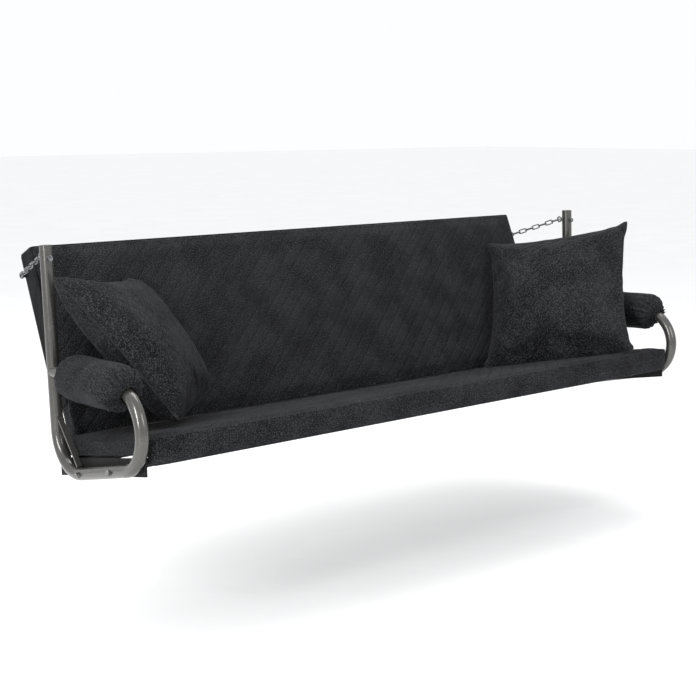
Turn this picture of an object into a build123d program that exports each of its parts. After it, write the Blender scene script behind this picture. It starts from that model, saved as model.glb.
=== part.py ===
from build123d import *
import math
import os

os.makedirs("parts", exist_ok=True)

# Three-seat porch swing: the hanging bench. Millimetres, +Z up, front towards -Y.
# The origin is midway between the open top ends of the two uprights, where the bench hangs.

# Side frames: one bent steel tube each
FRAME_SPAN = 1900.0  # centre to centre of the side frames
TUBE_R = 16.0
TUBE_BORE_R = 14.0
UPRIGHT_RUN = 583.6  # top end to the corner where upright and rail lines meet
UPRIGHT_LEAN = 2.6  # degrees, the top leans back
RAIL_RUN = 360.4  # from that corner forward to the armrest loop
RAIL_TILT = 13.7  # degrees, the rail rises to the front
CORNER_R = 100.0  # bend radius at the rear corner
LOOP_R = 97.2  # bend radius of the armrest loop
ARM_DROP = 1.9  # degrees, the arm falls towards the upright
BRACE_WIDTH = 14.0
BRACE_THICKNESS = 4.0
BRACE_TOP = (-11.6, 152.0)
BRACE_FOOT = (-108.0, 46.5)
SLEEVE_BORE_R = 11.0  # insert that takes the suspension rod
SLEEVE_LENGTH = 24.0

# Seat frame
SEAT_TILT = 11.3  # degrees, the seat rises to the front
SEAT_FRONT = -425.0
SEAT_REAR = 26.0
SEAT_BASE_FRONT = 132.0  # height of the wire grid's top at the front
SEAT_THICKNESS = 38.0
APRON_DROP = 26.0  # the cushion's front hangs down over the front tube
APRON_DEPTH = 13.0
SEAT_HALF_LENGTH = 926.0
SIDE_BAR_DEPTH = 45.0
SIDE_BAR_THICKNESS = 5.0
SIDE_BAR_DROP = 4.0  # top of the side bar below the cushion's base
SIDE_BAR_FRONT = -407.0
CROSS_TUBE_R = 11.0
CROSS_TUBE_BORE_R = 9.5
FRONT_TUBE_Y = -396.0
REAR_TUBE_Y = -8.0
WIRE_R = 2.0
WELD_GAP = 0.05
MID_BAR_X = 310.0
MID_BAR_WIDTH = 25.0
MID_BAR_DEPTH = 15.0
SEAT_WIRE_COUNT = 23
SEAT_WIRE_STEP = 78.0
SEAT_LONG_WIRES = (-340.0, -235.0, -185.0, -80.0)

# Fasteners, all M8
BOLT_R = 4.0
BOLT_HOLE_R = 4.2
HEAD_R = 7.0
HEAD_HEIGHT = 5.3
WASHER_R = 8.5
WASHER_THICKNESS = 1.6
NUT_HEIGHT = 6.5
RAIL_BOLT_Y = (-131.6, -290.5)
RAIL_BOLT_GRIP = 44.0
EYE_BOLT_Z = 551.0
SEAT_SHIM = 0.6  # the flat washer bridges the leaning tube
EYE_R = 8.0
EYE_WIRE_R = 2.5

# Backrest
RECLINE = 23.93  # degrees from vertical
BACK_FOOT = (28.0, 85.5)  # lower edge of the cushion's front face
BACK_LENGTH = 525.0
BACK_PAD = 50.0
BACK_HALF_LENGTH = 890.0
BACK_TUBE_R = 11.0
BACK_TUBE_BORE_R = 9.5
BACK_TUBE_X = 875.0
BACK_TUBE_DEPTH = 65.5  # tube centres behind the cushion's front face
BACK_TUBE_LOW = -15.0
BACK_TUBE_HIGH = 510.0
BACK_CROSS_LOW = 10.0
BACK_CROSS_HIGH = 496.0
BACK_WIRE_COUNT = 21
BACK_WIRE_STEP = 82.0
BACK_LONG_WIRES = (130.0, 250.0, 370.0)
POCKET_WALL = 2.5
POCKET_DEPTH = 81.0
POCKET_LOW = 90.0
STUD_HEIGHT = 460.0
STUD_R = 4.0
STUD_HEAD_R = 7.0

# Recline hinge
PIVOT = (70.0, 0.0)
PIN_R = 5.0
PIN_CLEARANCE = 0.05
LUG_X = 886.0
LUG_THICKNESS = 6.0
BRACKET_X = 894.0
BRACKET_THICKNESS = 6.0
BRACKET_RIM = 2.0  # plate left round the rear tube
BRACKET_EYE = 7.5  # plate left round the pin

# Backrest chains
CHAIN_LINKS = 8
CHAIN_WIRE_R = 2.0
CHAIN_GAP = 0.3  # play between neighbouring links
LINK_LENGTH = 32.0  # centre line, end to end
LINK_WIDTH = 12.0  # centre line
CHAIN_END_X = 910.0

# Soft parts
BOLSTER_R = 56.0
BOLSTER_BORE_R = 16.3
BOLSTER_WRAP = 29.0  # degrees of the armrest loop that the bolster covers
BOLSTER_REAR_Y = -78.0
PILLOW_THICKNESS = 130.0
PILLOW_BEVEL = 48.0  # degrees
# name, centre, turn about Z, lean back, roll, width, height
PILLOWS = (
    ("left", (-730.0, -56.5, 331.0), 45.5, 38.7, -3.0, 430.0, 420.0),
    ("right", (745.0, -125.0, 335.0), -65.7, 36.3, 12.4, 470.0, 462.0),
)

# Values worked out from the dimensions above
lean = math.radians(UPRIGHT_LEAN)
tilt = math.radians(RAIL_TILT)
drop = math.radians(ARM_DROP)
recline = math.radians(RECLINE)
seat_tilt = math.radians(SEAT_TILT)
corner_y = -UPRIGHT_RUN * math.sin(lean)
corner_z = -UPRIGHT_RUN * math.cos(lean)
corner_turn = 90.0 + RAIL_TILT - UPRIGHT_LEAN
corner_tangent = CORNER_R * math.tan(math.radians(corner_turn / 2))
frame_x = FRAME_SPAN / 2
bar_outer_x = frame_x - TUBE_R
bar_inner_x = bar_outer_x - SIDE_BAR_THICKNESS
loop_turn = 180.0 - RAIL_TILT + ARM_DROP

upright_top = (UPRIGHT_RUN * math.sin(lean), UPRIGHT_RUN * math.cos(lean))
bend_start = (corner_tangent * math.sin(lean), corner_tangent * math.cos(lean))
bend_end = (-corner_tangent * math.cos(tilt), corner_tangent * math.sin(tilt))
loop_start = (-RAIL_RUN * math.cos(tilt), RAIL_RUN * math.sin(tilt))
loop_centre = (
    loop_start[0] + LOOP_R * math.sin(tilt),
    loop_start[1] + LOOP_R * math.cos(tilt),
)
arm_front = (
    loop_centre[0] + LOOP_R * math.sin(drop),
    loop_centre[1] + LOOP_R * math.cos(drop),
)
brace_length = math.dist(BRACE_TOP, BRACE_FOOT)
brace_angle = math.degrees(math.atan2(BRACE_TOP[1] - BRACE_FOOT[1], BRACE_TOP[0] - BRACE_FOOT[0]))
brace_middle = ((BRACE_TOP[0] + BRACE_FOOT[0]) / 2, (BRACE_TOP[1] + BRACE_FOOT[1]) / 2)
arm_run = (arm_front[1] * math.tan(lean) - arm_front[0]) / (
    math.cos(drop) + math.sin(drop) * math.tan(lean)
)


def side_plane(x):
    """Plane across the bench at x; its axes are Y and Z from the frame's rear lower corner."""
    return Plane(origin=(x, corner_y, corner_z), x_dir=(0, 1, 0), z_dir=(1, 0, 0))


def at(x, y, z):
    """A point given from the frame's rear lower corner."""
    return (x, corner_y + y, corner_z + z)


def seat_base(y):
    """Height of the seat cushion's underside."""
    return SEAT_BASE_FRONT - (y - SEAT_FRONT) * math.tan(seat_tilt)


def back_point(height, depth):
    """A point up the backrest and behind the cushion's front face."""
    y = BACK_FOOT[0] + height * math.sin(recline) + depth * math.cos(recline)
    z = BACK_FOOT[1] + height * math.cos(recline) - depth * math.sin(recline)
    return (y, z)


def rail_height(y):
    """Height of the lower rail's centre line."""
    return -y * math.tan(tilt)


def arm_point(distance):
    """A point on the arm's centre line, measured back from the loop."""
    y = arm_front[0] + distance * math.cos(drop)
    z = arm_front[1] - distance * math.sin(drop)
    return (y, z)


def upright_y(z):
    """Centre of the upright at height z."""
    return z * math.tan(lean)


tube_drop = (2 * WIRE_R + CROSS_TUBE_R) / math.cos(seat_tilt) + WELD_GAP
front_tube_z = seat_base(FRONT_TUBE_Y) - tube_drop
rear_tube_z = seat_base(REAR_TUBE_Y) - tube_drop
mid_bar_drop = 4 * WIRE_R / math.cos(seat_tilt) + WELD_GAP
eye_y = upright_y(EYE_BOLT_Z)
eye_ring_y = eye_y + TUBE_R + NUT_HEIGHT + EYE_R + EYE_WIRE_R
stud_y, stud_z = back_point(STUD_HEIGHT, BACK_TUBE_DEPTH)
chain_pitch = LINK_LENGTH - 2 * CHAIN_WIRE_R - CHAIN_GAP


def save(piece, name):
    piece.part.label = name
    export_step(piece.part, f"parts/{name}.step")


# ---------------------------------------------------------------- side frames
for side, sign in (("left", -1), ("right", 1)):
    x = sign * frame_x
    with BuildPart() as side_frame:
        with BuildLine(side_plane(x)) as route:
            Line(upright_top, bend_start)
            JernArc(bend_start, (-math.sin(lean), -math.cos(lean)), CORNER_R, -corner_turn)
            Line(bend_end, loop_start)
            JernArc(loop_start, (-math.cos(tilt), math.sin(tilt)), LOOP_R, -loop_turn)
        with BuildSketch(Plane(origin=route.line @ 0, z_dir=route.line % 0)):
            Circle(TUBE_R)
            Circle(TUBE_BORE_R, mode=Mode.SUBTRACT)
        sweep()
        arm_direction = (0, math.cos(drop), -math.sin(drop))
        with BuildSketch(Plane(origin=at(x, *arm_front), z_dir=arm_direction)):
            Circle(TUBE_R)
            Circle(TUBE_BORE_R, mode=Mode.SUBTRACT)
        extrude(amount=arm_run)
        # the arm's end is welded on outside the upright, so the upright's bore stays clear
        with BuildSketch(Plane(origin=at(x, *bend_start), z_dir=(0, math.sin(lean), math.cos(lean)))):
            Circle(TUBE_BORE_R)
        extrude(amount=UPRIGHT_RUN - corner_tangent, mode=Mode.SUBTRACT)
        with Locations(Plane(origin=at(x, eye_y, EYE_BOLT_Z), z_dir=(0, 1, 0))):
            Cylinder(BOLT_HOLE_R, 3 * TUBE_R, mode=Mode.SUBTRACT)
        for bolt_y in RAIL_BOLT_Y:
            with Locations(Plane(origin=at(x, bolt_y, rail_height(bolt_y)), z_dir=(1, 0, 0))):
                Cylinder(BOLT_HOLE_R, 3 * TUBE_R, mode=Mode.SUBTRACT)
    save(side_frame, f"side_frame_{side}")

    with BuildPart() as sleeve:
        top_direction = (0, math.sin(lean), math.cos(lean))
        with BuildSketch(Plane(origin=at(x, *upright_top), z_dir=top_direction)):
            Circle(TUBE_BORE_R)
            Circle(SLEEVE_BORE_R, mode=Mode.SUBTRACT)
        extrude(amount=-SLEEVE_LENGTH)
    save(sleeve, f"hanger_sleeve_{side}")

    with BuildPart() as brace:
        with BuildSketch(side_plane(x)):
            with Locations(brace_middle):
                SlotCenterToCenter(brace_length, BRACE_THICKNESS, rotation=brace_angle)
        extrude(amount=BRACE_WIDTH / 2, both=True)
    save(brace, f"corner_brace_{side}")

# ----------------------------------------------------------------- seat frame
for side, sign in (("left", -1), ("right", 1)):
    bar_x = sign * (bar_inner_x + bar_outer_x) / 2
    front_top = seat_base(SIDE_BAR_FRONT) - SIDE_BAR_DROP
    rear_top = seat_base(SEAT_REAR) - SIDE_BAR_DROP
    with BuildPart() as side_bar:
        with BuildSketch(side_plane(bar_x)):
            with BuildLine():
                Polyline(
                    (SIDE_BAR_FRONT, front_top),
                    (SEAT_REAR, rear_top),
                    (SEAT_REAR, rear_top - SIDE_BAR_DEPTH),
                    (SIDE_BAR_FRONT, front_top - SIDE_BAR_DEPTH),
                    close=True,
                )
            make_face()
            with Locations(*[(y, rail_height(y)) for y in RAIL_BOLT_Y]):
                Circle(BOLT_HOLE_R, mode=Mode.SUBTRACT)
        extrude(amount=SIDE_BAR_THICKNESS / 2, both=True)
    save(side_bar, f"seat_side_bar_{side}")

    with BuildPart() as mid_bar:
        low_front = FRONT_TUBE_Y + CROSS_TUBE_R + 1
        low_rear = REAR_TUBE_Y - CROSS_TUBE_R - 1
        with BuildSketch(side_plane(sign * MID_BAR_X)):
            with BuildLine():
                Polyline(
                    (low_front, seat_base(low_front) - mid_bar_drop),
                    (low_rear, seat_base(low_rear) - mid_bar_drop),
                    (low_rear, seat_base(low_rear) - mid_bar_drop - MID_BAR_DEPTH),
                    (low_front, seat_base(low_front) - mid_bar_drop - MID_BAR_DEPTH),
                    close=True,
                )
            make_face()
        extrude(amount=MID_BAR_WIDTH / 2, both=True)
    save(mid_bar, f"seat_mid_bar_{side}")

for name, tube_y, tube_z in (
    ("seat_front_tube", FRONT_TUBE_Y, front_tube_z),
    ("seat_rear_tube", REAR_TUBE_Y, rear_tube_z),
):
    with BuildPart() as cross_tube:
        with BuildSketch(side_plane(0)):
            with Locations((tube_y, tube_z)):
                Circle(CROSS_TUBE_R)
                Circle(CROSS_TUBE_BORE_R, mode=Mode.SUBTRACT)
        extrude(amount=bar_inner_x, both=True)
    save(cross_tube, name)

wire_direction = (0, -math.cos(seat_tilt), math.sin(seat_tilt))
wire_length = (REAR_TUBE_Y - FRONT_TUBE_Y) / math.cos(seat_tilt)
wire_start_z = seat_base(REAR_TUBE_Y) - WIRE_R / math.cos(seat_tilt)
with BuildPart() as seat_wires:
    for i in range(SEAT_WIRE_COUNT):
        wire_x = (i - (SEAT_WIRE_COUNT - 1) / 2) * SEAT_WIRE_STEP
        with BuildSketch(Plane(origin=at(wire_x, REAR_TUBE_Y, wire_start_z), z_dir=wire_direction)):
            Circle(WIRE_R)
        extrude(amount=wire_length)
save(seat_wires, "seat_cross_wires")

with BuildPart() as seat_long_wires:
    with BuildSketch(side_plane(0)):
        with Locations(*[(y, seat_base(y) - 3 * WIRE_R / math.cos(seat_tilt)) for y in SEAT_LONG_WIRES]):
            Circle(WIRE_R - 0.02)
    extrude(amount=bar_inner_x, both=True)
save(seat_long_wires, "seat_long_wires")

# ----------------------------------------------------------------- fasteners
with BuildPart() as rail_bolts:
    for sign in (-1, 1):
        for bolt_y in RAIL_BOLT_Y:
            head_plane = Plane(
                origin=at(sign * (frame_x + TUBE_R), bolt_y, rail_height(bolt_y)),
                z_dir=(sign, 0, 0),
            )
            with BuildSketch(head_plane):
                Circle(WASHER_R)
            extrude(amount=WASHER_THICKNESS)
            with BuildSketch(head_plane.offset(WASHER_THICKNESS)):
                RegularPolygon(HEAD_R, 6)
            extrude(amount=HEAD_HEIGHT)
            with BuildSketch(head_plane):
                Circle(BOLT_R)
            extrude(amount=-RAIL_BOLT_GRIP)
save(rail_bolts, "rail_bolts")

with BuildPart() as rail_nuts:
    for sign in (-1, 1):
        for bolt_y in RAIL_BOLT_Y:
            nut_plane = Plane(
                origin=at(sign * bar_inner_x, bolt_y, rail_height(bolt_y)), z_dir=(-sign, 0, 0)
            )
            with BuildSketch(nut_plane):
                RegularPolygon(HEAD_R, 6)
                Circle(BOLT_R + PIN_CLEARANCE, mode=Mode.SUBTRACT)
            extrude(amount=NUT_HEIGHT)
save(rail_nuts, "rail_nuts")

for side, sign in (("left", -1), ("right", 1)):
    with BuildPart() as eye_bolt:
        bolt_plane = Plane(origin=at(sign * frame_x, eye_y - TUBE_R - SEAT_SHIM, EYE_BOLT_Z), z_dir=(0, -1, 0))
        with BuildSketch(bolt_plane):
            Circle(WASHER_R)
        extrude(amount=WASHER_THICKNESS)
        with BuildSketch(bolt_plane.offset(WASHER_THICKNESS)):
            RegularPolygon(HEAD_R, 6)
        extrude(amount=HEAD_HEIGHT)
        with BuildSketch(bolt_plane):
            Circle(BOLT_R)
        extrude(amount=-(2 * TUBE_R + NUT_HEIGHT + EYE_WIRE_R + SEAT_SHIM))
        ring_plane = Plane(origin=at(sign * frame_x, eye_ring_y, EYE_BOLT_Z), z_dir=(1, 0, 0))
        with Locations(ring_plane):
            Torus(EYE_R, EYE_WIRE_R)
    save(eye_bolt, f"eye_bolt_{side}")

with BuildPart() as eye_nuts:
    for sign in (-1, 1):
        nut_plane = Plane(origin=at(sign * frame_x, eye_y + TUBE_R + SEAT_SHIM, EYE_BOLT_Z), z_dir=(0, 1, 0))
        with BuildSketch(nut_plane):
            RegularPolygon(HEAD_R, 6)
            Circle(BOLT_R + PIN_CLEARANCE, mode=Mode.SUBTRACT)
        extrude(amount=NUT_HEIGHT - 1)
save(eye_nuts, "eye_bolt_nuts")

# -------------------------------------------------------------- recline hinge
for side, sign in (("left", -1), ("right", 1)):
    with BuildPart() as bracket:
        with BuildSketch(side_plane(sign * (BRACKET_X + BRACKET_THICKNESS / 2))):
            with Locations((REAR_TUBE_Y, rear_tube_z)):
                Circle(CROSS_TUBE_R + BRACKET_RIM)
            with Locations(PIVOT):
                Circle(PIN_R + BRACKET_EYE)
            make_hull()
            with Locations((REAR_TUBE_Y, rear_tube_z)):
                Circle(CROSS_TUBE_R, mode=Mode.SUBTRACT)
            with Locations(PIVOT):
                Circle(PIN_R + PIN_CLEARANCE, mode=Mode.SUBTRACT)
        extrude(amount=BRACKET_THICKNESS / 2, both=True)
    save(bracket, f"hinge_bracket_{side}")

    with BuildPart() as lug:
        with BuildSketch(side_plane(sign * (LUG_X + LUG_THICKNESS / 2))):
            with Locations(PIVOT):
                Circle(PIN_R + 8)
            with Locations(back_point(5, BACK_TUBE_DEPTH), back_point(60, BACK_TUBE_DEPTH)):
                Circle(BACK_TUBE_R)
            make_hull()
            with Locations(PIVOT):
                Circle(PIN_R + PIN_CLEARANCE, mode=Mode.SUBTRACT)
        extrude(amount=LUG_THICKNESS / 2, both=True)
    save(lug, f"hinge_lug_{side}")

    with BuildPart() as pin:
        pin_inner_x = LUG_X - 6
        pin_outer_x = BRACKET_X + BRACKET_THICKNESS + 0.2
        with BuildSketch(side_plane(sign * pin_inner_x)):
            with Locations(PIVOT):
                Circle(PIN_R)
        extrude(amount=sign * (pin_outer_x - pin_inner_x))
        with BuildSketch(side_plane(sign * pin_outer_x)):
            with Locations(PIVOT):
                Circle(PIN_R + 3.5)
        extrude(amount=sign * 3)
    save(pin, f"hinge_pin_{side}")

with BuildPart() as pin_clips:
    for sign in (-1, 1):
        with BuildSketch(side_plane(sign * (LUG_X - 1))):
            with Locations(PIVOT):
                Circle(PIN_R + 3)
                Circle(PIN_R, mode=Mode.SUBTRACT)
        extrude(amount=-sign * 1.5)
save(pin_clips, "hinge_pin_clips")

# ------------------------------------------------------------- backrest frame
back_up = (0, math.sin(recline), math.cos(recline))
for side, sign in (("left", -1), ("right", 1)):
    foot = back_point(BACK_TUBE_LOW, BACK_TUBE_DEPTH)
    with BuildPart() as back_tube:
        with BuildSketch(Plane(origin=at(sign * BACK_TUBE_X, *foot), z_dir=back_up)):
            Circle(BACK_TUBE_R)
            Circle(BACK_TUBE_BORE_R, mode=Mode.SUBTRACT)
        extrude(amount=BACK_TUBE_HIGH - BACK_TUBE_LOW)
    save(back_tube, f"back_side_tube_{side}")

    with BuildPart() as stud:
        with BuildSketch(side_plane(sign * LUG_X)):
            with Locations((stud_y, stud_z)):
                Circle(STUD_R)
        extrude(amount=sign * 16)
        with BuildSketch(side_plane(sign * (LUG_X + 16))):
            with Locations((stud_y, stud_z)):
                Circle(STUD_HEAD_R)
        extrude(amount=sign * 3)
    save(stud, f"chain_stud_{side}")

for name, height in (("back_bottom_tube", BACK_CROSS_LOW), ("back_top_tube", BACK_CROSS_HIGH)):
    with BuildPart() as back_cross:
        with BuildSketch(side_plane(0)):
            with Locations(back_point(height, BACK_TUBE_DEPTH)):
                Circle(BACK_TUBE_R)
                Circle(BACK_TUBE_BORE_R, mode=Mode.SUBTRACT)
        extrude(amount=BACK_TUBE_X - BACK_TUBE_R, both=True)
    save(back_cross, name)

with BuildPart() as tube_plugs:
    for sign in (-1, 1):
        top = back_point(BACK_TUBE_HIGH, BACK_TUBE_DEPTH)
        plug_plane = Plane(origin=at(sign * BACK_TUBE_X, *top), z_dir=back_up)
        with BuildSketch(plug_plane):
            Circle(BACK_TUBE_R)
        extrude(amount=4)
        with BuildSketch(plug_plane):
            Circle(BACK_TUBE_BORE_R)
        extrude(amount=-12)
save(tube_plugs, "back_tube_plugs")

wire_depth = BACK_TUBE_DEPTH - BACK_TUBE_R - WIRE_R
with BuildPart() as back_wires:
    for i in range(BACK_WIRE_COUNT):
        wire_x = (i - (BACK_WIRE_COUNT - 1) / 2) * BACK_WIRE_STEP
        foot = back_point(BACK_CROSS_LOW, wire_depth)
        with BuildSketch(Plane(origin=at(wire_x, *foot), z_dir=back_up)):
            Circle(WIRE_R)
        extrude(amount=BACK_CROSS_HIGH - BACK_CROSS_LOW)
save(back_wires, "back_cross_wires")

with BuildPart() as back_long_wires:
    with BuildSketch(side_plane(0)):
        with Locations(*[back_point(h, wire_depth + 2 * WIRE_R) for h in BACK_LONG_WIRES]):
            Circle(WIRE_R - 0.02)
    extrude(amount=BACK_TUBE_X - BACK_TUBE_R / 2, both=True)
    with BuildSketch(side_plane(0)):
        with Locations(*[back_point(h, BACK_TUBE_DEPTH) for h in BACK_LONG_WIRES]):
            Rectangle(6 * BACK_TUBE_R, 6 * BACK_TUBE_R)
    extrude(amount=BACK_TUBE_X * 2, both=True, mode=Mode.INTERSECT)
    for sign in (-1, 1):
        foot = back_point(BACK_TUBE_LOW, BACK_TUBE_DEPTH)
        with BuildSketch(Plane(origin=at(sign * BACK_TUBE_X, *foot), z_dir=back_up)):
            Circle(BACK_TUBE_R)
        extrude(amount=BACK_TUBE_HIGH - BACK_TUBE_LOW, mode=Mode.SUBTRACT)
save(back_long_wires, "back_long_wires")

# --------------------------------------------------------------------- chains
for side, sign in (("left", -1), ("right", 1)):
    start = Vector(*at(sign * frame_x, eye_ring_y, EYE_BOLT_Z))
    end = Vector(*at(sign * CHAIN_END_X, stud_y, stud_z))
    along = (end - start).normalized()
    across = along.cross(Vector(1, 0, 0)).normalized()
    with BuildPart() as chain:
        for i in range(CHAIN_LINKS):
            centre = start + along * (i * chain_pitch + LINK_LENGTH / 2)
            normal = across if i % 2 == 0 else along.cross(across)
            link_plane = Plane(origin=centre, x_dir=along, z_dir=normal)
            with BuildLine(link_plane) as link:
                half = (LINK_LENGTH - LINK_WIDTH) / 2
                Line((-half, LINK_WIDTH / 2), (half, LINK_WIDTH / 2))
                CenterArc((half, 0), LINK_WIDTH / 2, 90, -180)
                Line((half, -LINK_WIDTH / 2), (-half, -LINK_WIDTH / 2))
                CenterArc((-half, 0), LINK_WIDTH / 2, 270, -180)
            with BuildSketch(Plane(origin=link.line @ 0, z_dir=link.line % 0)):
                Circle(CHAIN_WIRE_R)
            sweep()
    save(chain, f"chain_{side}")

# ----------------------------------------------------------------- soft parts
with BuildPart() as seat_cushion:
    rise = SEAT_THICKNESS / math.cos(seat_tilt)
    apron_y = SEAT_FRONT + APRON_DEPTH
    apron_z = seat_base(SEAT_FRONT) - APRON_DROP
    with BuildSketch(side_plane(0)):
        with BuildLine():
            Polyline(
                (SEAT_REAR, seat_base(SEAT_REAR)),
                (apron_y, seat_base(apron_y)),
                (apron_y, apron_z),
                (SEAT_FRONT, apron_z),
                (SEAT_FRONT - 5, seat_base(SEAT_FRONT) + rise),
                (SEAT_REAR, seat_base(SEAT_REAR) + rise),
                close=True,
            )
        make_face()
        fillet(vertices(), 5)
    extrude(amount=SEAT_HALF_LENGTH, both=True)
save(seat_cushion, "seat_cushion")

with BuildPart() as back_cushion:
    with BuildSketch(side_plane(0)):
        with BuildLine():
            Polyline(
                back_point(0, 0),
                back_point(BACK_LENGTH, 0),
                back_point(BACK_LENGTH, BACK_PAD),
                back_point(0, BACK_PAD),
                close=True,
            )
        make_face()
        fillet(vertices(), 14)
    extrude(amount=BACK_HALF_LENGTH, both=True)
save(back_cushion, "back_cushion")

with BuildPart() as pocket:
    inner = POCKET_DEPTH - POCKET_WALL
    with BuildSketch(side_plane(0)):
        with BuildLine():
            Polyline(
                back_point(POCKET_LOW, BACK_PAD),
                back_point(BACK_LENGTH, BACK_PAD),
                back_point(BACK_LENGTH, POCKET_DEPTH),
                back_point(POCKET_LOW, POCKET_DEPTH),
                close=True,
            )
        make_face()
    extrude(amount=BACK_HALF_LENGTH, both=True)
    with BuildSketch(side_plane(0)):
        with BuildLine():
            Polyline(
                back_point(POCKET_LOW - 10, 0),
                back_point(BACK_LENGTH - POCKET_WALL, 0),
                back_point(BACK_LENGTH - POCKET_WALL, inner),
                back_point(POCKET_LOW - 10, inner),
                close=True,
            )
        make_face()
    extrude(amount=BACK_HALF_LENGTH - POCKET_WALL, both=True, mode=Mode.SUBTRACT)
    with BuildSketch(side_plane(0)):
        with BuildLine():
            Polyline(
                back_point(0, 0),
                back_point(BACK_LENGTH + 10, 0),
                back_point(BACK_LENGTH + 10, BACK_PAD),
                back_point(0, BACK_PAD),
                close=True,
            )
        make_face()
        with Locations((stud_y, stud_z)):
            Circle(STUD_R + 2)
    extrude(amount=2 * BACK_HALF_LENGTH, both=True, mode=Mode.SUBTRACT)
save(pocket, "back_cushion_pocket")

for side, sign in (("left", -1), ("right", 1)):
    wrap = math.radians(BOLSTER_WRAP)
    front = (
        loop_centre[0] + LOOP_R * math.sin(drop - wrap),
        loop_centre[1] + LOOP_R * math.cos(drop - wrap),
    )
    rear = arm_point((BOLSTER_REAR_Y - arm_front[0]) / math.cos(drop))
    with BuildPart() as bolster:
        with BuildLine(side_plane(sign * frame_x)) as core:
            JernArc(front, (math.cos(wrap - drop), math.sin(wrap - drop)), LOOP_R, -BOLSTER_WRAP)
            Line(arm_front, rear)
        with BuildSketch(Plane(origin=core.line @ 0, z_dir=core.line % 0)):
            Circle(BOLSTER_R)
            Circle(BOLSTER_BORE_R, mode=Mode.SUBTRACT)
        sweep()
    save(bolster, f"bolster_{side}")

for side, centre, turn, lean_back, roll, width, height in PILLOWS:
    frame_location = (
        Location(at(*centre))
        * Location((0, 0, 0), (0, 0, turn))
        * Location((0, 0, 0), (90 - lean_back, 0, 0))
        * Location((0, 0, 0), (0, 0, roll))
    )
    with BuildPart() as pillow:
        with BuildSketch(Plane(frame_location)):
            RectangleRounded(width, height, 18)
        extrude(amount=PILLOW_THICKNESS / 2, both=True, taper=PILLOW_BEVEL)
    save(pillow, f"pillow_{side}")
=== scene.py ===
# %% [markdown]
# # A three-seat porch swing, hanging from its two uprights
#
# The steel comes from the CAD model and stays where it is. This lesson gives each
# steel part its paint or plating, and makes the soft parts as what they are:
# a seat cushion, a back cushion with a pocket, two arm bolsters and two pillows.
# Everything is in metres. Z is up and the front of the bench faces -Y.

# %% Load the frame and keep its box
import math

import bmesh
import bpy
import numpy as np
from mathutils import Matrix, Vector


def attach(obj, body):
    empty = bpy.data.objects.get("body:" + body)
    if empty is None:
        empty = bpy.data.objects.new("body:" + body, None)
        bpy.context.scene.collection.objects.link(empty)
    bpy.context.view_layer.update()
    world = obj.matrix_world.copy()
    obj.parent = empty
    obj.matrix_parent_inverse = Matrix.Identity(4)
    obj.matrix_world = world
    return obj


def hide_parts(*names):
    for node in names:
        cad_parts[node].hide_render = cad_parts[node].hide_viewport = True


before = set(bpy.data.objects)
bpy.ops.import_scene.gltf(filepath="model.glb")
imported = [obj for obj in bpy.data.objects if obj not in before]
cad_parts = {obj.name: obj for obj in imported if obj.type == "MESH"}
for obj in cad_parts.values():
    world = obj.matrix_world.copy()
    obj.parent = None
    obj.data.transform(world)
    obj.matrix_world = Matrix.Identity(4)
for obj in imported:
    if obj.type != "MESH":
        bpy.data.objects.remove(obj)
scene = bpy.context.scene
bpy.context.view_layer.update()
cad_nodes = sorted(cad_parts)
print("CAD nodes:", len(cad_nodes))

# %% [markdown]
# ## The camera
#
# It is made early. It stands in front of the left end, a little above the bench,
# and uses a long lens, so the bench keeps its proportions. Its axes are worked
# out from three angles.

# %% Camera
CAMERA_PLACE = Vector((-2.3555, -2.9649, 0.2949))
CAMERA_TURN = math.radians(38.518)
CAMERA_DIP = math.radians(9.889)
CAMERA_ROLL = math.radians(-0.272)

ahead = Vector((
    math.sin(CAMERA_TURN) * math.cos(CAMERA_DIP),
    math.cos(CAMERA_TURN) * math.cos(CAMERA_DIP),
    -math.sin(CAMERA_DIP),
))
level = Vector((math.cos(CAMERA_TURN), -math.sin(CAMERA_TURN), 0))
above = level.cross(ahead)
right_hand = level * math.cos(CAMERA_ROLL) + above * math.sin(CAMERA_ROLL)
up_hand = above * math.cos(CAMERA_ROLL) - level * math.sin(CAMERA_ROLL)

camera = bpy.data.objects.new("camera", bpy.data.cameras.new("camera"))
scene.collection.objects.link(camera)
camera.data.lens = 66.91
camera.data.sensor_width = 36
axes = Matrix((right_hand, up_hand, -ahead)).transposed().to_4x4()
camera.matrix_world = Matrix.Translation(CAMERA_PLACE) @ axes
scene.camera = camera
print("camera lens:", camera.data.lens, "mm")

# %% [markdown]
# ## Floor, sky and lamps
#
# A pale floor and a white surround keep attention on the bench. Black cloth only
# shows its shape where a lamp grazes it, so a large lamp stands over the back and
# a narrow one at the left draws the bright line down each round tube. A third, in
# front, fills the shadows under the cushions' edges.

# %% Floor and surround
FLOOR_LEVEL = -0.95
FLOOR_REACH = 45.0


def plain_mesh(name, points, faces, edges=()):
    """A mesh object from points and faces, linked to the scene."""
    mesh = bpy.data.meshes.new(name)
    mesh.from_pydata([tuple(p) for p in points], edges, faces)
    mesh.update()
    made = bpy.data.objects.new(name, mesh)
    scene.collection.objects.link(made)
    return made


signs = ((-1, -1), (1, -1), (1, 1), (-1, 1))
floor_corners = [(x * FLOOR_REACH, y * FLOOR_REACH, FLOOR_LEVEL) for x, y in signs]
floor = plain_mesh("floor", floor_corners, [(0, 1, 2, 3)])
scene.view_settings.view_transform = "Standard"

world = bpy.data.worlds.new("studio")
scene.world = world
world.use_nodes = True
sky = world.node_tree.nodes["Background"]
sky.inputs["Color"].default_value = (0.985, 0.99, 1.0, 1)
sky.inputs["Strength"].default_value = 1.0
print("floor at", FLOOR_LEVEL)


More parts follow.
